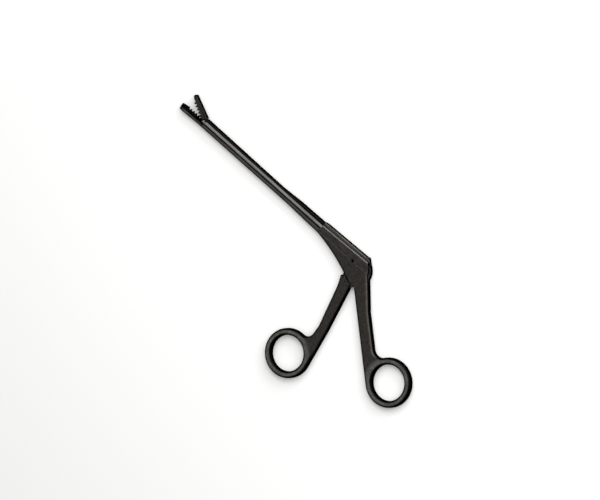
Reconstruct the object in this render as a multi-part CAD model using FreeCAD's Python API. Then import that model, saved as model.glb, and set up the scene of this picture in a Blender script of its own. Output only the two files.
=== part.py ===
"""Ring-handled bone rongeur with a sliding upper bar and a toothed cup jaw, shown open.

Frame: millimetres. The instrument lies on its side on a table at Z = 0 and is THICKNESS high.
The origin is on the main pivot. The jaws point to -X, the handles hang to -Y.
Every piece is drawn in the rest pose: handles spread, jaw open.
"""
import FreeCAD, Part
import math
import os

V = FreeCAD.Vector

# Overall forging
THICKNESS = 6.0
EDGE_RADIUS = 2.0
SEAM_HEIGHT = 4.45
SLIDE_HEIGHT = 6.45

# Shaft, made of a fixed lower bar and a sliding upper bar
SHAFT_WIDTH = 5.2
SHAFT_RADIUS = 1.5
BEVEL_RISE = 0.6
BEVEL_RUN = 1.4
BEVEL_INSET = 0.65
CROWN_RADIUS = 1.4
INTERFACE_CHAMFER = 0.3
SEAM_GROOVE = 0.3
LOWER_BAR_DEPTH = 3.05
LOWER_BAR_FLARE = 0.85
FLARE_LENGTH = 29.0
UPPER_BAR_FRONT = 3.85
UPPER_BAR_WAIST = 3.15
UPPER_BAR_REAR = 4.45
WAIST_POSITION = 72.5
WAIST_RAMP = 16.0
SHOULDER_POSITION = 35.0
SHOULDER_GAP = 0.1
SLIDE_CLEARANCE = 0.05

# Rear block of the lower bar: two cheeks with the slide's tail and the lever between them
TAIL_WIDTH = 3.2
TAIL_RADIUS = 1.1
TAIL_FRONT_HEIGHT = 11.6
TAIL_REAR_HEIGHT = 12.6
TAIL_REAR = 3.4
CHEEK_FRONT_HEIGHT = 9.05
CHEEK_REAR_HEIGHT = 10.45
CHEEK_CHAMFER = 0.65
REAR_SLOPE = 50.9
REAR_DISTANCE = 10.15
SLOT_CLEARANCE = 0.05

# Jaws
JAW_PIVOT_DISTANCE = 142.5
JAW_PIVOT_DROP = 1.65
JAW_LENGTH = 19.7
NOSE_LENGTH = 5.0
JAW_OPENING = 28.0
JAW_HEEL = 3.15
JAW_NOSE_DEPTH = 2.95
JAW_BELLY = 0.5
JAW_FACE_SLANT = 20.0
JAW_FACE_GAP = 0.25
CUP_RADIUS = 1.75
CUP_SETBACK = 1.0
CUP_START = 5.4
TOOTH_PITCH = 2.2
TOOTH_HEIGHT = 1.7
TOOTH_COUNT = 5
TOOTH_SETBACK = 3.8
TOE_RISE = 0.5
BITE_GAP = 0.15
TANG_WIDTH = 1.6
TANG_CLEARANCE = 0.1

# Linkage
DRIVE_ARM = 3.8
LEVER_ARM = 8.15
LEVER_HEAD_RADIUS = 11.4
LEVER_HEAD_CLEARANCE = 0.3
LEVER_HEAD_TOP = 57.0
LEVER_HEAD_FOOT = -25.0
LEVER_NECK_RADIUS = 6.25
TENON_WIDTH = 1.6
TENON_RADIUS = 1.6
SLOT_FRONT = 6.9

# Pins
MAIN_PIN = 3.0
STOP_PIN = 1.6
STOP_PIN_X = -4.55
SLIDE_PIN = 1.5
JAW_PIVOT_PIN = 1.4
JAW_DRIVE_PIN = 1.2
PIN_CLEARANCE = 0.04
PIN_RECESS = 0.05
DIMPLE = 0.9

# Keeper studs that hold the slide down on the lower bar
STUD_POSITIONS = (104.0, 50.0)
STUD_SHANK = 1.6
STUD_HEAD = 2.8
STUD_HEAD_HEIGHT = 0.8
STUD_DEPTH = 1.6

# Handles
RING_INNER = 23.4
RING_WALL = 4.45
FINGER_RING = (-5.1, -72.55)
THUMB_RING = (62.4, -41.85)
NECK_RADIUS = 6.0
GUSSET_FRONT = 36.0
GUSSET_CORNER = (-7.5, -5.1)
GUSSET_HOLLOW = 0.9
CROTCH = (5.1, -7.9)
REAR_STEP = 0.6
WEB_TOP = 1.8
LEVER_TOP = (-0.75, -8.5)
LEVER_NECK = (4.95, -43.5)
LEVER_TOP_WIDTH = 8.4
LEVER_NECK_WIDTH = 6.8
LEVER_FLARE = 1.1
LEVER_FLARE_LENGTH = 9.0
SHOULDER_CLEARANCE = 0.15
THUMB_SHANK_WIDTH = 8.6

# Motion, worked out from the linkage
TRAVEL = 2 * DRIVE_ARM * math.sin(math.radians(JAW_OPENING / 2))
SQUEEZE = 2 * math.degrees(math.atan(TRAVEL / 2 / LEVER_ARM))

MIDDLE = THICKNESS / 2
RING_OUTER_RADIUS = RING_INNER / 2 + RING_WALL
SLOT_WIDTH = TAIL_WIDTH + 2 * SLOT_CLEARANCE
SHAFT_BOTTOM = SLIDE_HEIGHT - LOWER_BAR_DEPTH
JAW_PIVOT = (-JAW_PIVOT_DISTANCE, SLIDE_HEIGHT - JAW_PIVOT_DROP)
JAW_TIP = -JAW_PIVOT_DISTANCE - JAW_LENGTH
FAR = 300.0


def polar(angle, radius, centre=(0.0, 0.0)):
    """Point at an angle in degrees and a radius from a centre."""
    turn = math.radians(angle)
    return (centre[0] + radius * math.cos(turn), centre[1] + radius * math.sin(turn))


def face(path):
    """Flat face in XY. A path item is a point, or a pair (way point, end point) for an arc."""
    ends = [item[1] if isinstance(item[0], tuple) else item for item in path]
    edges = []
    for index, item in enumerate(path):
        start = V(*ends[index - 1], 0)
        end = V(*ends[index], 0)
        if isinstance(item[0], tuple):
            edges.append(Part.Arc(start, V(*item[0], 0), end).toShape())
        elif start.distanceToPoint(end) > 1e-6:
            edges.append(Part.makeLine(start, end))
    return Part.Face(Part.Wire(edges))


def plate(path, width):
    """Plate of the given width, centred between the two sides of the instrument."""
    solid = face(path).extrude(V(0, 0, width))
    solid.translate(V(0, 0, MIDDLE - width / 2))
    return solid


def disc(centre, radius, width):
    """Round plate, centred between the two sides."""
    return Part.makeCylinder(radius, width, V(centre[0], centre[1], MIDDLE - width / 2))


def strap(start, end, radius, width):
    """Plate with two round ends."""
    along = math.atan2(end[1] - start[1], end[0] - start[0])
    side = (-math.sin(along) * radius, math.cos(along) * radius)
    body = plate([(start[0] + side[0], start[1] + side[1]), (end[0] + side[0], end[1] + side[1]),
                  (end[0] - side[0], end[1] - side[1]), (start[0] - side[0], start[1] - side[1])], width)
    return body.fuse([disc(start, radius, width), disc(end, radius, width)]).removeSplitter()


def section(x, half):
    """Closed section across X from its right half: (height, distance from the middle), arcs as in face()."""
    ends = [item[1] if isinstance(item[0], tuple) else item for item in half]
    sides = []
    for sign in (1, -1):
        edges = []
        for start, item, end in zip(ends, half[1:], ends[1:]):
            here = V(x, start[0], MIDDLE + sign * start[1])
            there = V(x, end[0], MIDDLE + sign * end[1])
            if isinstance(item[0], tuple):
                way = V(x, item[0][0], MIDDLE + sign * item[0][1])
                edges.append(Part.Arc(here, way, there).toShape())
            else:
                edges.append(Part.makeLine(here, there))
        sides.append(edges)
    across = [Part.makeLine(V(x, y, MIDDLE + z), V(x, y, MIDDLE - z)) for y, z in (ends[-1], ends[0])]
    return Part.Wire(sides[0] + [across[0]] + sides[1][::-1] + [across[1]])


def keel(low, high, width, radius):
    """Half section of the fixed bar: its lower edge is rounded, its upper edge is sharp."""
    side = width / 2
    cut = radius * (1 - math.sqrt(0.5))
    return [(low, side - radius), ((low + cut, side - cut), (low + radius, side)), (high, side)]


def crown(high):
    """Bevelled and rounded upper edge shared by the slide and the upper jaw, as part of a section."""
    side = SHAFT_WIDTH / 2
    start = SLIDE_HEIGHT + BEVEL_RISE
    end = start + BEVEL_RUN
    inner = side - BEVEL_INSET
    corner = math.sqrt(0.5)
    way = (end + (high - end) * corner, inner - CROWN_RADIUS * (1 - corner))
    return [(start, side), (end, inner), (way, (high, inner - CROWN_RADIUS))]


def loft(sections):
    """Straight-sided solid through sections."""
    return Part.makeLoft(sections, True, True)


def turned(shape, angle, centre):
    """Shape turned about an upright axis."""
    copy = shape.copy()
    copy.rotate(V(centre[0], centre[1], 0), V(0, 0, 1), angle)
    return copy


def pin(centre, diameter, length, dimple=0.0):
    """Plain cylindrical pin across the instrument, with an optional centre mark in each end."""
    solid = disc(centre, diameter / 2, length)
    if dimple > 0:
        for side in (-1, 1):
            end = V(centre[0], centre[1], MIDDLE + side * length / 2)
            solid = solid.cut(Part.makeCone(dimple / 2, 0, dimple / 2, end, V(0, 0, -side)))
    return solid


def tangent_point(start, centre, radius, side):
    """Where the straight line from start touches a circle; side is +1 or -1."""
    away = math.hypot(start[0] - centre[0], start[1] - centre[1])
    base = math.degrees(math.atan2(start[1] - centre[1], start[0] - centre[0]))
    return polar(base + side * math.degrees(math.acos(radius / away)), radius, centre)


def rear_line(height, inset=0.0):
    """X of the slanted rear end at a height above the pivot."""
    slope = math.radians(REAR_SLOPE)
    return (REAR_DISTANCE - inset - height * math.cos(slope)) / math.sin(slope)


def upright_edges(shape, spots, reach):
    """Edges along Z that pass within reach of one of the spots."""
    found = []
    for edge in shape.Edges:
        box = edge.BoundBox
        if box.XLength > 1e-4 or box.YLength > 1e-4:
            continue
        for spot in spots:
            if math.hypot(box.XMin - spot[0], box.YMin - spot[1]) < reach:
                found.append(edge)
    return found


def rim_edges(shape, keep):
    """Edges that lie in one of the two flat sides and that keep(x, y) accepts."""
    found = []
    for edge in shape.Edges:
        box = edge.BoundBox
        flat = box.ZLength < 1e-4 and (box.ZMin < 1e-4 or box.ZMin > THICKNESS - 1e-4)
        middle = edge.valueAt((edge.FirstParameter + edge.LastParameter) / 2)
        if flat and keep(middle.x, middle.y):
            found.append(edge)
    return found


def tooth_line(offset):
    """Zigzag of the bite, from the tip side to the hinge side, moved up or down by offset."""
    start = JAW_TIP + TOOTH_SETBACK
    points = [(JAW_TIP, SLIDE_HEIGHT + offset + TOE_RISE), (start, SLIDE_HEIGHT + offset + TOE_RISE)]
    for tooth in range(TOOTH_COUNT):
        base = start + tooth * TOOTH_PITCH
        points.append((base + TOOTH_PITCH * 0.25, SLIDE_HEIGHT + offset + TOOTH_HEIGHT / 2))
        points.append((base + TOOTH_PITCH * 0.75, SLIDE_HEIGHT + offset - TOOTH_HEIGHT / 2))
    points.append((start + TOOTH_COUNT * TOOTH_PITCH, SLIDE_HEIGHT + offset))
    return points


def nose_plan():
    """Upright column with the long oval end of both jaws, seen along the bite."""
    centre = JAW_TIP + NOSE_LENGTH
    left = MIDDLE - SHAFT_WIDTH / 2
    right = MIDDLE + SHAFT_WIDTH / 2
    oval = Part.Ellipse(V(JAW_TIP, 0, MIDDLE), V(centre, 0, right), V(centre, 0, MIDDLE))
    edges = [Part.makeLine(V(0, 0, left), V(centre, 0, left)),
             Part.ArcOfEllipse(oval, -math.pi / 2, math.pi / 2).toShape(),
             Part.makeLine(V(centre, 0, right), V(0, 0, right)),
             Part.makeLine(V(0, 0, right), V(0, 0, left))]
    column = Part.Face(Part.Wire(edges)).extrude(V(0, 4 * SLIDE_HEIGHT, 0))
    column.translate(V(0, -SLIDE_HEIGHT, 0))
    return column


def cup():
    """Long round-ended hollow shared by both jaws."""
    start = JAW_TIP + CUP_SETBACK + CUP_RADIUS
    length = -JAW_PIVOT_DISTANCE - CUP_START - CUP_RADIUS - start
    hollow = Part.makeCylinder(CUP_RADIUS, length, V(start, SLIDE_HEIGHT, MIDDLE), V(1, 0, 0))
    ends = [Part.makeSphere(CUP_RADIUS, V(start + shift, SLIDE_HEIGHT, MIDDLE)) for shift in (0, length)]
    return hollow.fuse(ends).removeSplitter()


def jaw_face(height, shift):
    """X of the slanted meeting face of slide and upper jaw, drawn with the jaw closed."""
    slant = math.tan(math.radians(JAW_FACE_SLANT))
    return -JAW_PIVOT_DISTANCE - JAW_HEEL + shift + (height - SLIDE_HEIGHT) * slant


def drive_point(angle):
    """Drive pin of the jaw at an angle from the middle of its swing."""
    return polar(90 + angle, DRIVE_ARM, JAW_PIVOT)


def lower_jaw():
    """Fixed toothed cup, one piece with the lower bar."""
    low = SHAFT_BOTTOM - JAW_BELLY
    nose = JAW_NOSE_DEPTH / 2
    rim = SLIDE_HEIGHT - BITE_GAP / 2
    root = -JAW_PIVOT_DISTANCE - JAW_HEEL
    side = [(root, SHAFT_BOTTOM), (root, rim)]
    side += list(reversed(tooth_line(-BITE_GAP / 2)))
    side += [(JAW_TIP, low + 1.2 * nose),
             ((JAW_TIP + 0.35 * nose, low + 0.35 * nose), (JAW_TIP + 1.4 * nose, low)),
             (JAW_TIP + 3.2 * nose, low)]
    blank = plate(side, SHAFT_WIDTH)
    rounded = loft([section(x, keel(bottom, FAR, SHAFT_WIDTH, SHAFT_RADIUS))
                    for x, bottom in ((JAW_TIP, low), (JAW_TIP + 3.2 * nose, low), (root, SHAFT_BOTTOM))])
    return blank.common(nose_plan()).common(rounded).cut(cup())


def stud_slots():
    """Long holes and head grooves that the keeper studs run in."""
    cuts = []
    run = TRAVEL + 2 * SLOT_CLEARANCE
    floor = SHAFT_BOTTOM + STUD_HEAD_HEIGHT + 2 * SLOT_CLEARANCE
    for position in STUD_POSITIONS:
        for diameter, low, high in ((STUD_SHANK, 0, SLIDE_HEIGHT), (STUD_HEAD, 0, floor)):
            radius = diameter / 2 + SLOT_CLEARANCE
            for shift in (0, -run):
                base = V(-position + shift + SLOT_CLEARANCE, low, MIDDLE)
                cuts.append(Part.makeCylinder(radius, high - low, base, V(0, 1, 0)))
            corner = V(-position - run + SLOT_CLEARANCE, low, MIDDLE - radius)
            cuts.append(Part.makeBox(run, high - low, 2 * radius, corner))
    return cuts


def rear_block():
    """Widened rear end of the lower bar, with its two cheeks."""
    front = -SHOULDER_POSITION + SHOULDER_GAP
    top_rear = rear_line(CHEEK_REAR_HEIGHT)
    side = [(-GUSSET_FRONT, SEAM_HEIGHT), (rear_line(SEAM_HEIGHT), SEAM_HEIGHT),
            (top_rear, CHEEK_REAR_HEIGHT), (front, CHEEK_FRONT_HEIGHT),
            (front, SLIDE_HEIGHT), (-GUSSET_FRONT, SLIDE_HEIGHT)]
    block = plate(side, THICKNESS)
    top = [edge for edge in block.Edges if is_cheek_top(edge)]
    return block.makeChamfer(CHEEK_CHAMFER, top)


def seam_grooves():
    """Shallow V-grooves in both flat sides along the joint between shaft and rear handle."""
    cuts = []
    length = GUSSET_FRONT + FAR
    for side in (0, THICKNESS):
        depth = SEAM_GROOVE if side == 0 else -SEAM_GROOVE
        corners = [V(-GUSSET_FRONT, SEAM_HEIGHT - SEAM_GROOVE, side),
                   V(-GUSSET_FRONT, SEAM_HEIGHT, side + depth),
                   V(-GUSSET_FRONT, SEAM_HEIGHT + SEAM_GROOVE, side)]
        cuts.append(Part.Face(Part.makePolygon(corners + corners[:1])).extrude(V(length, 0, 0)))
    return cuts


def is_cheek_top(edge):
    """True for the long sloping edges along the top of the cheeks."""
    box = edge.BoundBox
    return box.ZLength < 1e-4 and box.YMin > SLIDE_HEIGHT + 0.5 and box.XLength > SHOULDER_POSITION / 2


def lever_room():
    """Room for the lever between the cheeks, open below and behind."""
    radius = LEVER_HEAD_RADIUS + LEVER_HEAD_CLEARANCE
    room = disc((0, 0), radius, SLOT_WIDTH)
    keep = plate([(-SLOT_FRONT, -FAR), (FAR, -FAR), (FAR, FAR), (-SLOT_FRONT, FAR)], SLOT_WIDTH)
    return room.common(keep)


def lower_shaft():
    """Fixed lower bar with the lower jaw in front and the cheek block behind."""
    root = -JAW_PIVOT_DISTANCE - JAW_HEEL
    flare = -GUSSET_FRONT - FLARE_LENGTH
    bottom = SHAFT_BOTTOM - LOWER_BAR_FLARE
    sections = [section(root, keel(SHAFT_BOTTOM, SLIDE_HEIGHT, SHAFT_WIDTH, SHAFT_RADIUS)),
                section(flare, keel(SHAFT_BOTTOM, SLIDE_HEIGHT, SHAFT_WIDTH, SHAFT_RADIUS)),
                section(-GUSSET_FRONT, keel(bottom, SLIDE_HEIGHT, THICKNESS, EDGE_RADIUS - 0.1))]
    solid = loft(sections).fuse([lower_jaw(), rear_block()]).removeSplitter()
    tail_groove = plate([(-SHOULDER_POSITION - 1, SLIDE_HEIGHT), (FAR, SLIDE_HEIGHT), (FAR, FAR),
                         (-SHOULDER_POSITION - 1, FAR)], SLOT_WIDTH)
    tang_room = plate([(JAW_PIVOT[0] - JAW_HEEL - 0.6, 0), (JAW_PIVOT[0] + tang_reach(), 0),
                       (JAW_PIVOT[0] + tang_reach(), FAR), (JAW_PIVOT[0] - JAW_HEEL - 0.6, FAR)],
                      TANG_WIDTH + 2 * TANG_CLEARANCE)
    open_rear = plate([(0, 0), (FAR, 0), (FAR, FAR), (0, FAR)], SLOT_WIDTH)
    stop = disc((STOP_PIN_X, SEAM_HEIGHT), STOP_PIN / 2, THICKNESS)
    hinge = disc(JAW_PIVOT, JAW_PIVOT_PIN / 2, THICKNESS)
    rooms = [tail_groove, tang_room, lever_room(), open_rear, stop, hinge]
    return solid.cut(rooms + seam_grooves() + stud_slots())


def tang_radius():
    """Round end of the tang about its hinge, inside the depth of the lower bar."""
    return JAW_PIVOT[1] - SHAFT_BOTTOM - 2 * PIN_RECESS


def tang_reach():
    """Rearward room that the swinging tang needs at the sliding face."""
    swing = math.radians(JAW_OPENING / 2)
    return JAW_PIVOT_DROP * math.tan(swing) + tang_radius() / math.cos(swing) + TANG_CLEARANCE


def upper_jaw():
    """Moving toothed cup with its tang, drawn closed and then swung open."""
    rim = SLIDE_HEIGHT + BITE_GAP / 2
    heel_top = SLIDE_HEIGHT + UPPER_BAR_FRONT
    nose_top = SLIDE_HEIGHT + JAW_NOSE_DEPTH
    nose = JAW_NOSE_DEPTH / 2
    side = [(jaw_face(rim, -JAW_FACE_GAP), rim)] + list(reversed(tooth_line(BITE_GAP / 2)))
    side += [(JAW_TIP, nose_top - 1.2 * nose),
             ((JAW_TIP + 0.35 * nose, nose_top - 0.35 * nose), (JAW_TIP + 1.4 * nose, nose_top)),
             (jaw_face(heel_top, -JAW_FACE_GAP), heel_top)]
    blank = plate(side, SHAFT_WIDTH)
    rounded = loft([section(x, [(0, SHAFT_WIDTH / 2)] + crown(top))
                    for x, top in ((JAW_TIP, nose_top), (JAW_TIP + 1.4 * nose, nose_top),
                                   (jaw_face(heel_top, 0), heel_top))])
    shell = blank.common(nose_plan()).common(rounded).cut(cup())
    closed_pin = drive_point(JAW_OPENING / 2)
    front = jaw_face(rim, -JAW_FACE_GAP)
    web = plate([(front - 0.2, rim), (front - 1.4, rim + 0.3),
                 (front - 1.4, closed_pin[1] + tang_radius() / 2),
                 (closed_pin[0], closed_pin[1] + tang_radius() / 2), JAW_PIVOT,
                 polar(225, tang_radius(), JAW_PIVOT)], TANG_WIDTH)
    tang = strap(JAW_PIVOT, closed_pin, tang_radius(), TANG_WIDTH)
    whole = shell.fuse([web, tang]).removeSplitter()
    play = JAW_DRIVE_PIN / 2 + PIN_CLEARANCE
    sideways = DRIVE_ARM * (1 - math.cos(math.radians(JAW_OPENING / 2))) + PIN_CLEARANCE
    inner = polar(90 + JAW_OPENING / 2, DRIVE_ARM - sideways, JAW_PIVOT)
    outer = polar(90 + JAW_OPENING / 2, DRIVE_ARM + PIN_CLEARANCE, JAW_PIVOT)
    whole = whole.cut([strap(inner, outer, play, THICKNESS),
                       disc(JAW_PIVOT, JAW_PIVOT_PIN / 2 + PIN_CLEARANCE, THICKNESS)])
    return turned(whole, -JAW_OPENING, JAW_PIVOT)


def slide():
    """Sliding upper bar with its fork in front and its tail behind, drawn with the jaw open."""
    low = SLIDE_HEIGHT + SLIDE_CLEARANCE
    front = jaw_face(SLIDE_HEIGHT, 0) + TRAVEL
    heights = [(front, UPPER_BAR_FRONT), (-WAIST_POSITION, UPPER_BAR_WAIST),
               (-WAIST_POSITION + WAIST_RAMP, UPPER_BAR_REAR - 0.3), (-SHOULDER_POSITION, UPPER_BAR_REAR)]
    foot = [(low, SHAFT_WIDTH / 2 - INTERFACE_CHAMFER), (low + INTERFACE_CHAMFER, SHAFT_WIDTH / 2)]
    bar = loft([section(x, foot + crown(SLIDE_HEIGHT + height)) for x, height in heights])
    top = SLIDE_HEIGHT + UPPER_BAR_FRONT
    chamfer = UPPER_BAR_FRONT * 0.3
    face_top = jaw_face(top, TRAVEL)
    face_knee = jaw_face(top - chamfer, TRAVEL)
    beyond = front - JAW_LENGTH
    nose = plate([(beyond, 0), (front, 0), (front, SLIDE_HEIGHT), (face_knee, top - chamfer),
                  (face_top + chamfer, top), (face_top + 2 * chamfer, top + chamfer),
                  (beyond, top + chamfer)], THICKNESS)
    open_pin = drive_point(-JAW_OPENING / 2)
    fork_end = open_pin[0] + tang_radius() + 6 * TANG_CLEARANCE
    fork = plate([(beyond, 0), (fork_end, 0), (fork_end, FAR), (beyond, FAR)],
                 TANG_WIDTH + 2 * TANG_CLEARANCE)
    bar = bar.cut([nose, fork, disc(open_pin, JAW_DRIVE_PIN / 2, THICKNESS)])
    solid = bar.fuse(slide_tail()).removeSplitter()
    studs = [Part.makeCylinder(STUD_SHANK / 2, STUD_DEPTH, V(-position, low, MIDDLE), V(0, 1, 0))
             for position in STUD_POSITIONS]
    return solid.cut(studs)


def slide_tail():
    """Narrow tail of the slide: it runs between the cheeks and forks over the lever's tenon."""
    low = SLIDE_HEIGHT + SLIDE_CLEARANCE
    pin_x = TRAVEL / 2
    overhang = LEVER_ARM + TENON_RADIUS + 0.4
    fork_rear = pin_x + TENON_RADIUS + 0.2
    rear_low = TAIL_REAR + (TAIL_REAR_HEIGHT - overhang) / math.tan(math.radians(REAR_SLOPE))
    round_x = TAIL_REAR - TAIL_RADIUS
    side = [(-SHOULDER_POSITION - 0.5, low), (fork_rear, low), (fork_rear, overhang), (rear_low, overhang),
            (TAIL_REAR + 0.3, TAIL_REAR_HEIGHT - 0.5),
            ((TAIL_REAR - 0.1, TAIL_REAR_HEIGHT - 0.15), (round_x, TAIL_REAR_HEIGHT)),
            (-SHOULDER_POSITION + 2.0, TAIL_FRONT_HEIGHT),
            (-SHOULDER_POSITION - 0.5, SLIDE_HEIGHT + UPPER_BAR_REAR)]
    tail = plate(side, TAIL_WIDTH)
    crest = min(TAIL_FRONT_HEIGHT, TAIL_REAR_HEIGHT) - 0.1
    top = [edge for edge in tail.Edges
           if edge.BoundBox.ZLength < 1e-4 and edge.BoundBox.YMin > crest
           and edge.BoundBox.XLength > SHOULDER_POSITION / 2]
    tail = tail.makeFillet(TAIL_RADIUS, top)
    slot_front = pin_x - TENON_RADIUS - 4 * TANG_CLEARANCE
    slot = plate([(slot_front, 0), (FAR, 0), (FAR, overhang), (slot_front, overhang)],
                 TENON_WIDTH + 2 * TANG_CLEARANCE)
    return tail.cut([slot, disc((pin_x, LEVER_ARM), SLIDE_PIN / 2, THICKNESS)])


def stop_gate():
    """Open-ended arc cut in the lever that lets it swing past the stop pin."""
    away = math.hypot(STOP_PIN_X, SEAM_HEIGHT)
    angle = math.degrees(math.atan2(SEAM_HEIGHT, STOP_PIN_X))
    radius = STOP_PIN / 2 + PIN_CLEARANCE
    closed = angle - SQUEEZE - 1.0
    far = angle + 30
    middle = (closed + far) / 2
    gate = plate([polar(far, away - radius), polar(far, away + radius),
                  (polar(middle, away + radius), polar(closed, away + radius)),
                  polar(closed, away - radius),
                  (polar(middle, away - radius), polar(far, away - radius))], THICKNESS)
    return gate.fuse(disc(polar(closed, away), radius, THICKNESS))


def ring_hole(centre):
    """Hole of a finger or thumb ring."""
    return disc(centre, RING_INNER / 2, THICKNESS)


def softened(solid, corners, keep):
    """Handle outline with its inner corners rounded, its ring bored and its edges rounded."""
    solid = solid.removeSplitter()
    for centre, spot in corners:
        solid = solid.makeFillet(NECK_RADIUS, upright_edges(solid, [spot], 1.5))
        solid = solid.cut(ring_hole(centre))
    return solid.makeFillet(EDGE_RADIUS, rim_edges(solid, keep))


def crossing(start, start_angle, other, other_angle):
    """Point where two straight lines meet."""
    a = math.radians(start_angle)
    b = math.radians(other_angle)
    gap = (other[0] - start[0], other[1] - start[1])
    reach = (gap[0] * math.sin(b) - gap[1] * math.cos(b)) / math.sin(b - a)
    return (start[0] + reach * math.cos(a), start[1] + reach * math.sin(a))


def circle_entry(start, angle, centre, radius):
    """First point where a straight line from start meets a circle."""
    turn = math.radians(angle)
    gap = (start[0] - centre[0], start[1] - centre[1])
    along = gap[0] * math.cos(turn) + gap[1] * math.sin(turn)
    root = math.sqrt(along ** 2 - gap[0] ** 2 - gap[1] ** 2 + radius ** 2)
    reach = -along - root
    return (start[0] + reach * math.cos(turn), start[1] + reach * math.sin(turn))


def heading(start, end):
    """Direction in degrees from one point to another."""
    return math.degrees(math.atan2(end[1] - start[1], end[0] - start[0]))


def shoulder_height(x):
    """Height of the lever's shoulder line at rest: it clears the cheeks over the whole stroke."""
    edge = math.radians(heading(GUSSET_CORNER, CROTCH))
    away = abs(GUSSET_CORNER[0] * math.sin(edge) - GUSSET_CORNER[1] * math.cos(edge))
    reach = CROTCH[0] * math.cos(edge) + CROTCH[1] * math.sin(edge)
    half = math.radians(SQUEEZE / 2)
    distance = (away + SHOULDER_CLEARANCE + reach * math.sin(half)) / math.cos(half)
    slope = edge - half
    return x * math.tan(slope) - distance / math.cos(slope)


def blade():
    """Thin part of the lever between the cheeks: a sector about the pivot with a notch for the stop."""
    back = (LEVER_HEAD_TOP, LEVER_HEAD_FOOT)
    low_left = (LEVER_TOP[0] - LEVER_TOP_WIDTH / 2 + 0.4, LEVER_TOP[1] - 2)
    low_right = (LEVER_TOP[0] + LEVER_TOP_WIDTH / 2 - 0.2, LEVER_TOP[1] - 3)
    path = [low_left, polar(125, LEVER_NECK_RADIUS),
            (polar(90, LEVER_NECK_RADIUS), polar(back[0], LEVER_NECK_RADIUS)),
            polar(back[0], LEVER_HEAD_RADIUS),
            (polar(sum(back) / 2, LEVER_HEAD_RADIUS), polar(back[1], LEVER_HEAD_RADIUS)), low_right]
    return plate(path, TAIL_WIDTH).common(disc((0, 0), LEVER_HEAD_RADIUS, TAIL_WIDTH)).cut(stop_gate())


def tenon():
    """Narrow tongue on top of the lever, with the long hole that drives the slide."""
    swing = 90 - SQUEEZE / 2
    away = math.hypot(TRAVEL / 2, LEVER_ARM)
    tongue = strap(polar(swing, LEVER_NECK_RADIUS / 2), polar(swing, away), TENON_RADIUS, TENON_WIDTH)
    hole = strap(polar(swing, LEVER_ARM - PIN_CLEARANCE), polar(swing, away + PIN_CLEARANCE),
                 SLIDE_PIN / 2 + PIN_CLEARANCE, THICKNESS)
    return tongue, hole


def lever_flare(top, neck):
    """Curved widening of the lever's outer edge below its shoulder."""
    run = heading(neck, top)
    foot = polar(run, -LEVER_FLARE_LENGTH, top)
    tip = polar(run + 90, LEVER_FLARE, polar(run, 0.1 * LEVER_FLARE_LENGTH, top))
    middle = polar(run + 90, LEVER_FLARE * 0.22, polar(run, -0.5 * LEVER_FLARE_LENGTH, top))
    inside = polar(run - 90, LEVER_FLARE, tip)
    return plate([foot, (middle, tip), polar(run - 90, LEVER_FLARE, inside)], THICKNESS)


def closed_handle():
    """Side of the fixed handle's inner edge, as the lever meets it with the handles squeezed."""
    run = heading(CROTCH, tangent_point(CROTCH, THUMB_RING, RING_OUTER_RADIUS, 1))
    base = polar(run - 90, SHOULDER_CLEARANCE, CROTCH)
    ends = [polar(run + 180, FAR, base), polar(run, FAR, base)]
    far_ends = [polar(run + 90, FAR, end) for end in reversed(ends)]
    return turned(plate(ends + far_ends, THICKNESS), -SQUEEZE, (0, 0))


def front_handle():
    """Moving lever: finger ring and shank, a thin blade about the pivot, and a tenon for the slide."""
    axis = heading(LEVER_TOP, LEVER_NECK)
    top = [polar(axis + side, LEVER_TOP_WIDTH / 2, LEVER_TOP) for side in (90, -90)]
    neck = [polar(axis + side, LEVER_NECK_WIDTH / 2, LEVER_NECK) for side in (90, -90)]
    ring = disc(FINGER_RING, RING_OUTER_RADIUS, THICKNESS)
    touch = tangent_point(neck[0], FINGER_RING, RING_OUTER_RADIUS, -1)
    up_right = crossing(top[0], heading(neck[0], top[0]), (0, 0), 0)
    up_left = crossing(top[1], heading(neck[1], top[1]), (0, 0), 0)
    shank = plate([up_left, neck[1], (neck[1][0], FINGER_RING[1]), FINGER_RING, touch, neck[0], up_right],
                  THICKNESS).fuse(lever_flare(top[1], neck[1]))
    above = plate([(-FAR, shoulder_height(-FAR)), (FAR, shoulder_height(FAR)),
                   (FAR, FAR * 2), (-FAR, FAR * 2)], THICKNESS)
    entry = circle_entry(neck[1], -90, FINGER_RING, RING_OUTER_RADIUS)
    body = softened(shank.cut(above).fuse(ring), [(FINGER_RING, entry)],
                    lambda x, y: abs(y - shoulder_height(x)) > 0.2)
    tongue, hole = tenon()
    body = body.cut(closed_handle()).fuse([blade(), tongue]).removeSplitter()
    return body.cut([hole, disc((0, 0), MAIN_PIN / 2 + PIN_CLEARANCE, THICKNESS)])


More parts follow.
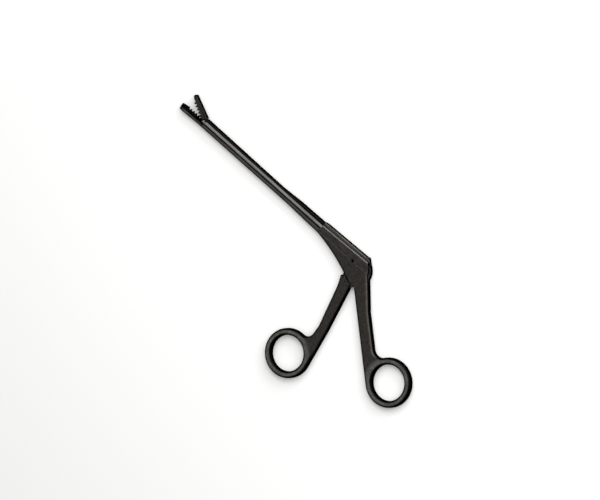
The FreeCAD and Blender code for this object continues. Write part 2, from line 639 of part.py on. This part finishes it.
def rear_handle():
    """Fixed handle: gusset under the shaft, shank and thumb ring."""
    touch = tangent_point(CROTCH, THUMB_RING, RING_OUTER_RADIUS, 1)
    run = heading(CROTCH, touch)
    outer = polar(run + 90, THUMB_SHANK_WIDTH, touch)
    top = (rear_line(SEAM_HEIGHT, REAR_STEP), SEAM_HEIGHT)
    knee = crossing(top, -REAR_SLOPE, outer, run)
    entry = circle_entry(knee, run, THUMB_RING, RING_OUTER_RADIUS)
    bottom = SHAFT_BOTTOM - LOWER_BAR_FLARE
    chord = heading((-GUSSET_FRONT, bottom), GUSSET_CORNER)
    centre = ((GUSSET_CORNER[0] - GUSSET_FRONT) / 2, (GUSSET_CORNER[1] + bottom) / 2)
    outline = [(-GUSSET_FRONT, SEAM_HEIGHT), top, knee, outer, THUMB_RING, touch, CROTCH, GUSSET_CORNER,
               (polar(chord + 90, GUSSET_HOLLOW, centre), (-GUSSET_FRONT, bottom))]
    plain = plate(outline, THICKNESS).fuse(disc(THUMB_RING, RING_OUTER_RADIUS, THICKNESS))
    shoulder = ((GUSSET_CORNER[0] + CROTCH[0]) / 2, (GUSSET_CORNER[1] + CROTCH[1]) / 2)

    def rounded(x, y):
        seam = y > SEAM_HEIGHT - 0.01 or x < -GUSSET_FRONT + 0.1
        return not seam and math.hypot(x - shoulder[0], y - shoulder[1]) > 0.1

    body = softened(plain, [(THUMB_RING, entry)], rounded)
    open_rear = plate([(0, WEB_TOP), (FAR, WEB_TOP), (FAR, FAR), (0, FAR)], SLOT_WIDTH)
    return body.cut([lever_room(), open_rear, disc((0, 0), MAIN_PIN / 2, THICKNESS),
                     disc((STOP_PIN_X, SEAM_HEIGHT), STOP_PIN / 2, THICKNESS)] + seam_grooves())


def keeper_studs():
    """Two headed studs pressed into the slide from below, running in the lower bar."""
    low = SHAFT_BOTTOM + SLOT_CLEARANCE
    top = SLIDE_HEIGHT + SLIDE_CLEARANCE + STUD_DEPTH
    up = V(0, 1, 0)
    studs = []
    for position in STUD_POSITIONS:
        foot = V(-position, low, MIDDLE)
        head = Part.makeCylinder(STUD_HEAD / 2, STUD_HEAD_HEIGHT, foot, up)
        shank = Part.makeCylinder(STUD_SHANK / 2, top - low, foot, up)
        studs.append(head.fuse(shank).removeSplitter())
    return Part.makeCompound(studs)


PIECES = {
    "rear_handle": rear_handle,
    "lower_shaft": lower_shaft,
    "slide": slide,
    "upper_jaw": upper_jaw,
    "front_handle": front_handle,
    "main_pivot_pin": lambda: pin((0, 0), MAIN_PIN, THICKNESS - 2 * PIN_RECESS, DIMPLE),
    "stop_pin": lambda: pin((STOP_PIN_X, SEAM_HEIGHT), STOP_PIN, THICKNESS - 2 * PIN_RECESS),
    "slide_drive_pin": lambda: pin((TRAVEL / 2, LEVER_ARM), SLIDE_PIN, TAIL_WIDTH),
    "jaw_pivot_pin": lambda: pin(JAW_PIVOT, JAW_PIVOT_PIN, SHAFT_WIDTH - 2 * PIN_RECESS),
    "jaw_drive_pin": lambda: pin(drive_point(-JAW_OPENING / 2), JAW_DRIVE_PIN, SHAFT_WIDTH - 2 * PIN_RECESS),
    "keeper_studs": keeper_studs,
}


def main():
    os.makedirs("parts", exist_ok=True)
    for name, make in PIECES.items():
        shape = make()
        solids = shape.Solids
        print(name, len(solids), "solids", round(shape.Volume, 2), shape.isValid())
        shape.exportStep("parts/" + name + ".step")


main()
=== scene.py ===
"""Bone rongeur in black-coated steel, lying on its side with its jaw open."""
import math
import bmesh
import bpy
from mathutils import Matrix, Vector


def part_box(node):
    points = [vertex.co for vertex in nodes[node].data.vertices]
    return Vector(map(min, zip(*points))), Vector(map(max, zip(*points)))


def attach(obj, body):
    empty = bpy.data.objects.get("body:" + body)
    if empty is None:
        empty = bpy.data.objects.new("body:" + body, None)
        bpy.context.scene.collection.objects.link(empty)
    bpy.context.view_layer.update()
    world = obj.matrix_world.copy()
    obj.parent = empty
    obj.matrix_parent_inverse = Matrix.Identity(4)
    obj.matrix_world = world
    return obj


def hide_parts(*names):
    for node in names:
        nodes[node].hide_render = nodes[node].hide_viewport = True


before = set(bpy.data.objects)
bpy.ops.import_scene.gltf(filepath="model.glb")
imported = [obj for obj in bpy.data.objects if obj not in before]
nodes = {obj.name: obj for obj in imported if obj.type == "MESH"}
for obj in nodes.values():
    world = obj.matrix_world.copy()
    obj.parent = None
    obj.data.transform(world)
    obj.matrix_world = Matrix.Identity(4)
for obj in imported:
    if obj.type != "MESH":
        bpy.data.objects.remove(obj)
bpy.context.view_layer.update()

# Camera: a very long lens 12 m away, tilted 27 degrees off the flat side, towards the back of the
# shaft and the rear of the handles. The frame is 384 mm wide, 0.64 mm to a pixel of 600 x 500.
MM = 0.001
AIM = Vector((-33.5, -9.3, 18.4)) * MM
TOWARDS_CAMERA = Vector((0.3213, 0.3209, 0.8912)).normalized()
IMAGE_UP = Vector((-0.6308, 0.7743, -0.0514))
CAMERA_DISTANCE = 12.0
FRAME_WIDTH = 0.384
SENSOR_WIDTH = 36.0
SIGHT_LIMIT = 100.0
image_right = IMAGE_UP.cross(TOWARDS_CAMERA).normalized()
image_up = TOWARDS_CAMERA.cross(image_right).normalized()
camera_data = bpy.data.cameras.new("camera")
camera_data.sensor_fit = "HORIZONTAL"
camera_data.sensor_width = SENSOR_WIDTH
camera_data.lens = SENSOR_WIDTH * CAMERA_DISTANCE / FRAME_WIDTH
camera_data.clip_end = SIGHT_LIMIT
camera = bpy.data.objects.new("camera", camera_data)
bpy.context.scene.collection.objects.link(camera)
turn = Matrix((image_right, image_up, TOWARDS_CAMERA)).transposed().to_4x4()
camera.matrix_world = Matrix.Translation(AIM + TOWARDS_CAMERA * CAMERA_DISTANCE) @ turn
bpy.context.scene.camera = camera


# Rear handle: drop-forged stainless steel, ground flat on its two sides, blasted and coated black.
# Its gusset meets the shaft along a straight seam, and its ring takes the thumb. The rolled edges are
# painted black as shade, and a grey painted highlight, broken up in patches and a little glossier, runs
# along the crest of the ring.
THUMB_RING = (62.4, -41.85)
STOP_PIN_MARK = (-4.55, 4.45, 1.3)
HANDLE_FLAT = "#393331"
HANDLE_FLAT_COOL = "#343532"
HANDLE_SHADED_SIDE = "#100f0f"
HANDLE_RUBBED_AND_HIGHLIT = "#62605d"

# The coat's pattern, in millimetres. The grain of the blasting is near 0.1 mm, too fine to show, so it is
# drawn 0.5 to 0.9 mm coarse, with flecks of 2 mm. The fades soften the borders of the painted shade in
# the boxes and of the black about the stop pin.
FLECK_MM = 2.0
MOTTLE_MM = 4.0
WEAR_PATCH_MM = 7.0
WORN_ARRIS_MM = 0.15
PIT_DEPTH_MM = 0.012
SHADE_BOX_FADE = (-0.1, 0.2)
MARK_FADE_MM = 0.3

# Round a ring the rims are painted black as shade and the crest gets a painted highlight, each in full
# up to its first distance from the ring's centre and not at all past its second. Both follow the upright
# part of the face's normal.
RIMS_SHADED = (16.2, 19.0)
RIM_TURN = (0.82, 0.95)
CREST_HIGHLIGHT = (14.8, 17.5)
CREST_TURN = (0.9, 0.99)

# Strength of the pattern. A span is the part of a noise that is stretched from nothing to full, or in the
# shade's case to the two factors that darken and lighten the colour. An arris is lightened, as wear and
# painted highlight, where the eased normal turns away from the face's own, and ARRIS_BEND is the
# cosine of that turn.
MOTTLE_SPAN = (0.35, 0.65)
WEAR_SPAN = (0.3, 0.62)
LEAST_WEAR = 0.35
ARRIS_BEND = (0.99, 0.86)
ARRIS_WEAR_AND_HIGHLIGHT = 0.8
SHADE_SPAN = (0.7, 1.3)
SHADE = (0.6, 1.4)
DULLER = 0.07
GLOSSIER = 0.06
WORN_GLOSS = 0.1
PIT_STRENGTH = 0.6


def to_linear(code):
    """Linear colour from an sRGB hex code."""
    parts = [int(code[i:i + 2], 16) / 255 for i in (1, 3, 5)]
    return tuple(v / 12.92 if v <= 0.04045 else ((v + 0.055) / 1.055) ** 2.4 for v in parts) + (1.0,)


def add(tree, kind, links=None, **settings):
    """One node with its settings; links maps an input to a constant or to another node's output."""
    node = tree.nodes.new(kind)
    for name, value in settings.items():
        setattr(node, name, value)
    for name, value in (links or {}).items():
        if isinstance(value, bpy.types.NodeSocket):
            tree.links.new(value, node.inputs[name])
        else:
            node.inputs[name].default_value = value
    return node


def distance_from(tree, place, centre):
    """How far a point lies from the upright line through centre, which is in millimetres."""
    level = add(tree, "ShaderNodeVectorMath", {0: place, 1: (1, 1, 0)}, operation="MULTIPLY").outputs[0]
    foot = (centre[0] * MM, centre[1] * MM, 0)
    return add(tree, "ShaderNodeVectorMath", {0: level, 1: foot}, operation="DISTANCE").outputs["Value"]


def clear_of(tree, place, boxes):
    """Zero in every box and one outside them all. A box is left, right, low, high in millimetres."""
    clear = 1.0
    for left, right, low, high in boxes:
        middle = ((left + right) / 2 * MM, (low + high) / 2 * MM, 0)
        half = ((right - left) / 2 * MM, (high - low) / 2 * MM, 0)
        reach = add(tree, "ShaderNodeVectorMath", {0: place, 1: middle}, operation="SUBTRACT").outputs[0]
        reach = add(tree, "ShaderNodeVectorMath", {0: reach}, operation="ABSOLUTE").outputs[0]
        reach = add(tree, "ShaderNodeVectorMath", {0: reach, 1: half}, operation="SUBTRACT").outputs[0]
        reach = add(tree, "ShaderNodeSeparateXYZ", {0: reach}).outputs
        reach = add(tree, "ShaderNodeMath", {0: reach["X"], 1: reach["Y"]}, operation="MAXIMUM").outputs[0]
        outside = add(tree, "ShaderNodeMapRange", {"Value": reach, "From Min": SHADE_BOX_FADE[0] * MM,
                                                   "From Max": SHADE_BOX_FADE[1] * MM}).outputs[0]
        clear = add(tree, "ShaderNodeMath", {0: clear, 1: outside}, operation="MULTIPLY").outputs[0]
    return clear


def coated_steel(name, flat, cool, side, rubbed, roughness=0.38, grain_mm=0.9, grind=(1, 1, 1),
                 grey=(0.5, 0.68), ring=None, deep=(), mark=None):
    """Black oxide on steel: grey flats, painted shade in black round the edges, and a lightening on the
    arrises that is partly wear and partly painted highlight.

    The flats are mottled from flat to cool. A face is black at the first of grey, and grey from the
    second on, both being the upright part of its normal; that black of the side is painted shade. grind
    draws the grain out along a ground bar. Black is painted as shade in the deep boxes, and it is also
    black about the mark, given as its place and its radius. rubbed is the colour of the arrises and of
    a ring's crest, where it is painted highlight.
    """
    material = bpy.data.materials.new(name)
    material.use_nodes = True
    tree = material.node_tree
    tree.nodes.clear()
    coords = add(tree, "ShaderNodeTexCoord").outputs
    place = coords["Object"]
    stretched = add(tree, "ShaderNodeMapping", {"Vector": place, "Scale": grind}).outputs["Vector"]
    grain = add(tree, "ShaderNodeTexNoise", {"Vector": stretched, "Scale": 1 / (grain_mm * MM),
                                             "Detail": 3.0, "Roughness": 0.6}).outputs["Fac"]

    # How far a face turns away from the flat side decides between the grey of the coat and a black that
    # is painted shade.
    upright = add(tree, "ShaderNodeSeparateXYZ", {0: coords["Normal"]}).outputs["Z"]
    upright = add(tree, "ShaderNodeMath", {0: upright}, operation="ABSOLUTE").outputs[0]
    unshaded = add(tree, "ShaderNodeMapRange", {"Value": upright, "From Min": grey[0], "From Max": grey[1]},
                  interpolation_type="SMOOTHSTEP").outputs[0]
    outside_painted_shade = clear_of(tree, place, deep)
    unshaded = add(tree, "ShaderNodeMath", {0: unshaded, 1: outside_painted_shade}, operation="MULTIPLY").outputs[0]
    if mark:
        reach = distance_from(tree, place, mark)
        beside = add(tree, "ShaderNodeMapRange", {"Value": reach, "From Min": (mark[2] - MARK_FADE_MM) * MM,
                                                  "From Max": mark[2] * MM}).outputs[0]
        unshaded = add(tree, "ShaderNodeMath", {0: unshaded, 1: beside}, operation="MULTIPLY").outputs[0]
    if ring:
        away = distance_from(tree, place, ring)
        beyond = add(tree, "ShaderNodeMapRange", {"Value": away, "From Min": RIMS_SHADED[0] * MM,
                                                  "From Max": RIMS_SHADED[1] * MM}).outputs[0]
        top = add(tree, "ShaderNodeMapRange", {"Value": upright, "From Min": RIM_TURN[0],
                                               "From Max": RIM_TURN[1]}).outputs[0]
        top = add(tree, "ShaderNodeMath", {0: top, 1: beyond}, operation="MAXIMUM").outputs[0]
        unshaded = add(tree, "ShaderNodeMath", {0: unshaded, 1: top}, operation="MULTIPLY").outputs[0]

    # The coat itself: mottled grey, or black where shade is painted.
    mottle = add(tree, "ShaderNodeTexNoise", {"Vector": place, "Scale": 1 / (MOTTLE_MM * MM),
                                              "Detail": 2.0, "Roughness": 0.5}).outputs["Fac"]
    mottle = add(tree, "ShaderNodeMapRange", {"Value": mottle, "From Min": MOTTLE_SPAN[0],
                                              "From Max": MOTTLE_SPAN[1]}).outputs[0]
    tone = add(tree, "ShaderNodeMix", {"Factor": mottle, 6: to_linear(flat), 7: to_linear(cool)},
               data_type="RGBA").outputs[2]
    coat = add(tree, "ShaderNodeMix", {"Factor": unshaded, 6: to_linear(side), 7: tone},
               data_type="RGBA").outputs[2]

    # Wear and painted highlight on sharp arrises, broken up in patches, and a painted highlight on the
    # crest of a ring where there is one.
    eased = add(tree, "ShaderNodeBevel", {"Radius": WORN_ARRIS_MM * MM}, samples=6).outputs["Normal"]
    true = add(tree, "ShaderNodeNewGeometry").outputs["Normal"]
    bend = add(tree, "ShaderNodeVectorMath", {0: eased, 1: true}, operation="DOT_PRODUCT").outputs["Value"]
    arris = add(tree, "ShaderNodeMapRange", {"Value": bend, "From Min": ARRIS_BEND[0],
                                             "From Max": ARRIS_BEND[1], "To Max": ARRIS_WEAR_AND_HIGHLIGHT}).outputs[0]
    patchy = add(tree, "ShaderNodeTexNoise", {"Vector": place, "Scale": 1 / (WEAR_PATCH_MM * MM),
                                              "Detail": 4.0, "Roughness": 0.6}).outputs["Fac"]
    patchy = add(tree, "ShaderNodeMapRange", {"Value": patchy, "From Min": WEAR_SPAN[0],
                                              "From Max": WEAR_SPAN[1], "To Min": LEAST_WEAR}).outputs[0]
    wear_and_highlight = add(tree, "ShaderNodeMath", {0: arris, 1: patchy}, operation="MULTIPLY").outputs[0]
    wear_and_highlight = add(tree, "ShaderNodeMath", {0: wear_and_highlight, 1: outside_painted_shade}, operation="MULTIPLY").outputs[0]
    if ring:
        near = add(tree, "ShaderNodeMapRange",
                   {"Value": away, "From Min": CREST_HIGHLIGHT[1] * MM, "From Max": CREST_HIGHLIGHT[0] * MM},
                   interpolation_type="SMOOTHSTEP").outputs[0]
        crest = add(tree, "ShaderNodeMapRange", {"Value": upright, "From Min": CREST_TURN[0],
                                                 "From Max": CREST_TURN[1]}).outputs[0]
        crest = add(tree, "ShaderNodeMath", {0: near, 1: crest}, operation="MULTIPLY").outputs[0]
        crest = add(tree, "ShaderNodeMath", {0: crest, 1: patchy}, operation="MULTIPLY").outputs[0]
        wear_and_highlight = add(tree, "ShaderNodeMath", {0: wear_and_highlight, 1: crest}, operation="MAXIMUM").outputs[0]
    colour = add(tree, "ShaderNodeMix", {"Factor": wear_and_highlight, 6: coat, 7: to_linear(rubbed)},
                 data_type="RGBA").outputs[2]

    # Grain and flecks shade the colour, and the grain also roughens and pits the surface.
    fleck = add(tree, "ShaderNodeTexNoise", {"Vector": stretched, "Scale": 1 / (FLECK_MM * MM),
                                             "Detail": 3.0, "Roughness": 0.6}).outputs["Fac"]
    shade = add(tree, "ShaderNodeMath", {0: grain, 1: fleck}, operation="ADD").outputs[0]
    shade = add(tree, "ShaderNodeMapRange",
                {"Value": shade, "From Min": SHADE_SPAN[0], "From Max": SHADE_SPAN[1],
                 "To Min": SHADE[0], "To Max": SHADE[1]}).outputs[0]
    colour = add(tree, "ShaderNodeVectorMath", {0: colour, 1: shade}, operation="MULTIPLY").outputs[0]
    rough = add(tree, "ShaderNodeMapRange", {"Value": grain, "To Min": roughness - GLOSSIER,
                                             "To Max": roughness + DULLER}).outputs[0]
    rough = add(tree, "ShaderNodeMath", {0: wear_and_highlight, 1: -WORN_GLOSS, 2: rough},
                operation="MULTIPLY_ADD").outputs[0]
    pitted = add(tree, "ShaderNodeBump", {"Height": grain, "Normal": eased, "Strength": PIT_STRENGTH,
                                          "Distance": PIT_DEPTH_MM * MM}).outputs[0]
    shader = add(tree, "ShaderNodeBsdfPrincipled",
                 {"Base Color": colour, "Metallic": 1.0, "Roughness": rough, "Normal": pitted,
                  "Specular Tint": (0.0, 0.0, 0.0, 1.0)})
    add(tree, "ShaderNodeOutputMaterial", {"Surface": shader.outputs["BSDF"]})
    return material


SAME_POINT = 1e-7
FACETS_OF_ONE_FACE = math.radians(0.4)
SHARP_ARRIS = math.radians(28)


def smooth_copy(node, name, material):
    """Copy of a CAD node with its facets merged, round surfaces shaded round and arrises kept sharp."""
    mesh = nodes[node].data.copy()
    mesh.name = name
    work = bmesh.new()
    work.from_mesh(mesh)
    bmesh.ops.remove_doubles(work, verts=work.verts, dist=SAME_POINT)
    bmesh.ops.dissolve_limit(work, angle_limit=FACETS_OF_ONE_FACE, verts=work.verts, edges=work.edges,
                             delimit={"NORMAL"})
    for face in work.faces:
        face.smooth = True
    for edge in work.edges:
        edge.smooth = edge.calc_face_angle(0.0) < SHARP_ARRIS
    work.to_mesh(mesh)
    work.free()
    mesh.materials.clear()
    mesh.materials.append(material)
    piece = bpy.data.objects.new(name, mesh)
    bpy.context.scene.collection.objects.link(piece)
    level = piece.modifiers.new("flat faces shade flat", "WEIGHTED_NORMAL")
    level.keep_sharp = True
    return piece


thumb_steel = coated_steel("black oxide on forged steel, thumb side", HANDLE_FLAT, HANDLE_FLAT_COOL,
                           HANDLE_SHADED_SIDE, HANDLE_RUBBED_AND_HIGHLIT, ring=THUMB_RING, mark=STOP_PIN_MARK)
rear_handle = smooth_copy("rear_handle", "rear_handle_forging", thumb_steel)
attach(rear_handle, "frame")
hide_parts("rear_handle")

# Lower shaft: a bar milled from stainless steel, ground lengthwise and coated black, with the fixed jaw
# in front, two cheeks behind and slots inside for the keeper studs. Black is painted as shade in the bite
# and along the line where the two bars meet, and the cheeks' bevel takes a lighter copy of the coat as
# a painted highlight.
SHAFT_FLAT = "#4a4644"
SHAFT_FLAT_COOL = "#464745"
SHAFT_SHADED_SIDE = "#0b0b0b"
SHAFT_RUBBED_AND_HIGHLIT = "#77736d"
SHAFT_SHADE_TO_GREY = (0.76, 0.89)
GROUND_LENGTHWISE = (0.12, 1, 1)
JOINT_LINE_SHADE = (-170.0, -30.0, 6.05, 6.85)
BITE_SHADE = (-170.0, -141.5, 5.3, 20.0)
CHEEK_FLAT = "#3b3735"
CHEEK_FLAT_COOL = "#383936"
CHEEKS_FROM = -35.2
CHEEK_BEVEL = "#4c4a48"
CHEEK_BEVEL_COOL = "#4b4b49"
CHEEK_BEVEL_FROM = 8.0
CHEEK_BEVEL_TURN = (0.55, 0.85)
shaft_steel = coated_steel("black oxide on ground steel", SHAFT_FLAT, SHAFT_FLAT_COOL, SHAFT_SHADED_SIDE,
                           SHAFT_RUBBED_AND_HIGHLIT, roughness=0.27, grain_mm=0.6, grind=GROUND_LENGTHWISE,
                           grey=SHAFT_SHADE_TO_GREY, deep=(JOINT_LINE_SHADE, BITE_SHADE))
bevel_steel = coated_steel("black oxide on ground steel, bevel with painted highlight", CHEEK_BEVEL, CHEEK_BEVEL_COOL,
                           SHAFT_SHADED_SIDE, SHAFT_RUBBED_AND_HIGHLIT, roughness=0.3, grain_mm=0.6,
                           grind=GROUND_LENGTHWISE, grey=(0.3, 0.6))
cheek_steel = coated_steel("black oxide on ground steel, cheeks", CHEEK_FLAT, CHEEK_FLAT_COOL,
                           SHAFT_SHADED_SIDE, SHAFT_RUBBED_AND_HIGHLIT, roughness=0.34, grain_mm=0.9,
                           grind=(0.5, 1, 1), mark=STOP_PIN_MARK)
lower_shaft = smooth_copy("lower_shaft", "fixed_bar", shaft_steel)
lower_shaft.data.materials.append(bevel_steel)
lower_shaft.data.materials.append(cheek_steel)
# Faces behind CHEEKS_FROM take the cheeks' coat, and the sloping bevel on their top takes the lighter copy,
# a painted highlight.
for face in lower_shaft.data.polygons:
    if face.center.x > CHEEKS_FROM * MM:
        sloping = CHEEK_BEVEL_TURN[0] < abs(face.normal.z) < CHEEK_BEVEL_TURN[1]
        bevel = sloping and face.center.y > CHEEK_BEVEL_FROM * MM
        face.material_index = 1 if bevel else 2
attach(lower_shaft, "frame")
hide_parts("lower_shaft")

# Slide: the upper bar, milled and ground from the same steel. It slides on the lower bar and ends in a
# narrow tail between the cheeks. Its top is painted black as shade, and its long bevels catch the light.
SLIDE_CROWN_SHADE = (-170.0, -35.0, 8.5, 20.0)
slide_steel = coated_steel("black oxide on ground steel, slide", SHAFT_FLAT, SHAFT_FLAT_COOL, SHAFT_SHADED_SIDE,
                           SHAFT_RUBBED_AND_HIGHLIT, roughness=0.27, grain_mm=0.6, grind=GROUND_LENGTHWISE,
                           grey=SHAFT_SHADE_TO_GREY, deep=(JOINT_LINE_SHADE, SLIDE_CROWN_SHADE))
slide = smooth_copy("slide", "sliding_bar", slide_steel)
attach(slide, "slider")
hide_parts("slide")

# Upper jaw: a small milled cup with a ring of teeth that mesh with the fixed jaw's. It turns on a
# riveted pin, and its tang runs in the fork of the slide.
JAW_FLAT = "#1b1a19"
jaw_steel = coated_steel("black oxide on milled steel", JAW_FLAT, JAW_FLAT, SHAFT_SHADED_SIDE, SHAFT_RUBBED_AND_HIGHLIT,
                         roughness=0.36, grain_mm=0.5)
upper_jaw = smooth_copy("upper_jaw", "moving_jaw", jaw_steel)
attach(upper_jaw, "jaw")
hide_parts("upper_jaw")

# Front handle: a forged lever with the finger ring, made and coated as the rear handle is. Its round
# head turns between the cheeks on the main pivot.
FINGER_RING = (-5.1, -72.55)
# Its rolled edges and ring rims are painted black as shade, and its ring's crest carries a painted
# highlight.
finger_steel = coated_steel("black oxide on forged steel, finger side", HANDLE_FLAT, HANDLE_FLAT_COOL,
                            HANDLE_SHADED_SIDE, HANDLE_RUBBED_AND_HIGHLIT, ring=FINGER_RING)
front_handle = smooth_copy("front_handle", "front_handle_forging", finger_steel)
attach(front_handle, "lever")
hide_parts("front_handle")

# Pins and keeper studs: turned steel, riveted, ground flush with the flats and coated with them. The
# stop pin is nearly black, and the others are a shade darker than the steel round them. Grit and the
# mark of the lathe show in their gloss and relief.
PIN_FACES = {"main_pivot_pin": "#363331", "stop_pin": "#060606"}
PIN_FACE = "#2b2927"
PIN_TURNING_MM = 1.885
PIN_GRIT_MM = 0.4
PIN_GROOVE_MM = 0.01
WAVE_PERIOD = math.pi / 10


def turned_pin(node):
    """Turned steel with rings round the pin's own axis.

    The real rings are near 0.1 mm apart. They are drawn 1.9 mm apart, as one shallow dish in each end.
    """
    low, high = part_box(node)
    middle = [-(a + b) / 2 for a, b in zip(low, high)]
    material = bpy.data.materials.new("black oxide on turned steel, " + node)
    material.use_nodes = True
    tree = material.node_tree
    tree.nodes.clear()
    place = add(tree, "ShaderNodeTexCoord").outputs["Object"]
    centred = add(tree, "ShaderNodeMapping", {"Vector": place, "Location": middle}).outputs["Vector"]
    rings = add(tree, "ShaderNodeTexWave",
                {"Vector": centred, "Scale": WAVE_PERIOD / (PIN_TURNING_MM * MM), "Distortion": 0.4},
                wave_type="RINGS", rings_direction="Z").outputs["Fac"]
    grooves = add(tree, "ShaderNodeBump",
                  {"Height": rings, "Strength": 0.6, "Distance": PIN_GROOVE_MM * MM}).outputs[0]
    grit = add(tree, "ShaderNodeTexNoise",
               {"Vector": place, "Scale": 1 / (PIN_GRIT_MM * MM), "Detail": 3.0}).outputs["Fac"]
    rough = add(tree, "ShaderNodeMapRange", {"Value": grit, "To Min": 0.3, "To Max": 0.45}).outputs[0]
    shader = add(tree, "ShaderNodeBsdfPrincipled",
                 {"Base Color": to_linear(PIN_FACES.get(node, PIN_FACE)), "Metallic": 1.0,
                  "Roughness": rough, "Normal": grooves, "Specular Tint": (0.0, 0.0, 0.0, 1.0)})
    add(tree, "ShaderNodeOutputMaterial", {"Surface": shader.outputs["BSDF"]})
    return material


for node in ("main_pivot_pin", "stop_pin", "slide_drive_pin", "jaw_pivot_pin", "jaw_drive_pin",
             "keeper_studs"):
    nodes[node].data.materials.clear()
    nodes[node].data.materials.append(turned_pin(node))

# Studio: matt white paper under the instrument, a soft white ceiling that darkens towards the walls, and
# three soft boxes behind the shaft and the thumb ring. The paper is white by its own colour and a little
# glow that only the camera, mirrors and glass see.
FLOOR_REACH = 3.0
PAPER = "#e2e2e1"
PAPER_GLOW = 0.08
CEILING = 0.85
WALLS = 0.10
WALLS_END = 0.45
CEILING_STARTS = 0.8
STUDIO_MIDDLE = Vector((-0.04, -0.02, 0))
corners = [(-FLOOR_REACH, -FLOOR_REACH, 0), (FLOOR_REACH, -FLOOR_REACH, 0),
           (FLOOR_REACH, FLOOR_REACH, 0), (-FLOOR_REACH, FLOOR_REACH, 0)]
floor_mesh = bpy.data.meshes.new("floor")
floor_mesh.from_pydata(corners, [], [(0, 1, 2, 3)])
floor = bpy.data.objects.new("floor", floor_mesh)
bpy.context.scene.collection.objects.link(floor)
paper = bpy.data.materials.new("matt white paper")
paper.use_nodes = True
tree = paper.node_tree
tree.nodes.clear()
rays = add(tree, "ShaderNodeLightPath").outputs
seen = add(tree, "ShaderNodeMath", {0: rays["Is Camera Ray"], 1: rays["Is Glossy Ray"]},
           operation="MAXIMUM").outputs[0]
seen = add(tree, "ShaderNodeMath", {0: seen, 1: rays["Is Transmission Ray"]}, operation="MAXIMUM").outputs[0]
glow = add(tree, "ShaderNodeMath", {0: seen, 1: PAPER_GLOW}, operation="MULTIPLY").outputs[0]
diffuse = add(tree, "ShaderNodeBsdfDiffuse", {"Color": to_linear(PAPER)}).outputs[0]
lit = add(tree, "ShaderNodeEmission", {"Strength": glow}).outputs[0]
sheet = add(tree, "ShaderNodeAddShader", {0: diffuse, 1: lit}).outputs[0]
add(tree, "ShaderNodeOutputMaterial", {"Surface": sheet})
floor_mesh.materials.append(paper)


def softbox(name, azimuth, elevation, size, radiance):
    """Soft box 1 m from the instrument, aimed at it, as bright as radiance times a white wall."""
    data = bpy.data.lights.new(name, "AREA")
    data.shape = "RECTANGLE"
    data.size, data.size_y = size
    data.energy = radiance * math.pi * size[0] * size[1]
    lamp = bpy.data.objects.new(name, data)
    bpy.context.scene.collection.objects.link(lamp)
    across, up = math.radians(azimuth), math.radians(elevation)
    way = Vector((math.cos(up) * math.cos(across), math.cos(up) * math.sin(across), math.sin(up)))
    lamp.location = STUDIO_MIDDLE + way
    lamp.rotation_euler = way.to_track_quat("Z", "Y").to_euler()
    lamp.visible_camera = False


softbox("key behind the shaft", azimuth=85, elevation=26, size=(1.2, 0.38), radiance=5.0)
softbox("upper box behind the shaft", azimuth=98, elevation=54, size=(1.1, 0.4), radiance=3.7)
softbox("box behind the thumb ring", azimuth=42, elevation=44, size=(0.45, 0.7), radiance=3.2)
world = bpy.data.worlds.new("studio")
world.use_nodes = True
tree = world.node_tree
sky = add(tree, "ShaderNodeTexCoord").outputs["Generated"]
height = add(tree, "ShaderNodeSeparateXYZ", {0: sky}).outputs["Z"]
level = add(tree, "ShaderNodeMapRange",
            {"Value": height, "From Min": WALLS_END, "From Max": CEILING_STARTS,
             "To Min": WALLS, "To Max": CEILING},
            interpolation_type="SMOOTHSTEP").outputs[0]
tree.nodes["Background"].inputs["Color"].default_value = (1, 1, 1, 1)
tree.links.new(level, tree.nodes["Background"].inputs["Strength"])
bpy.context.scene.world = world
bpy.context.scene.view_settings.view_transform = "Standard"
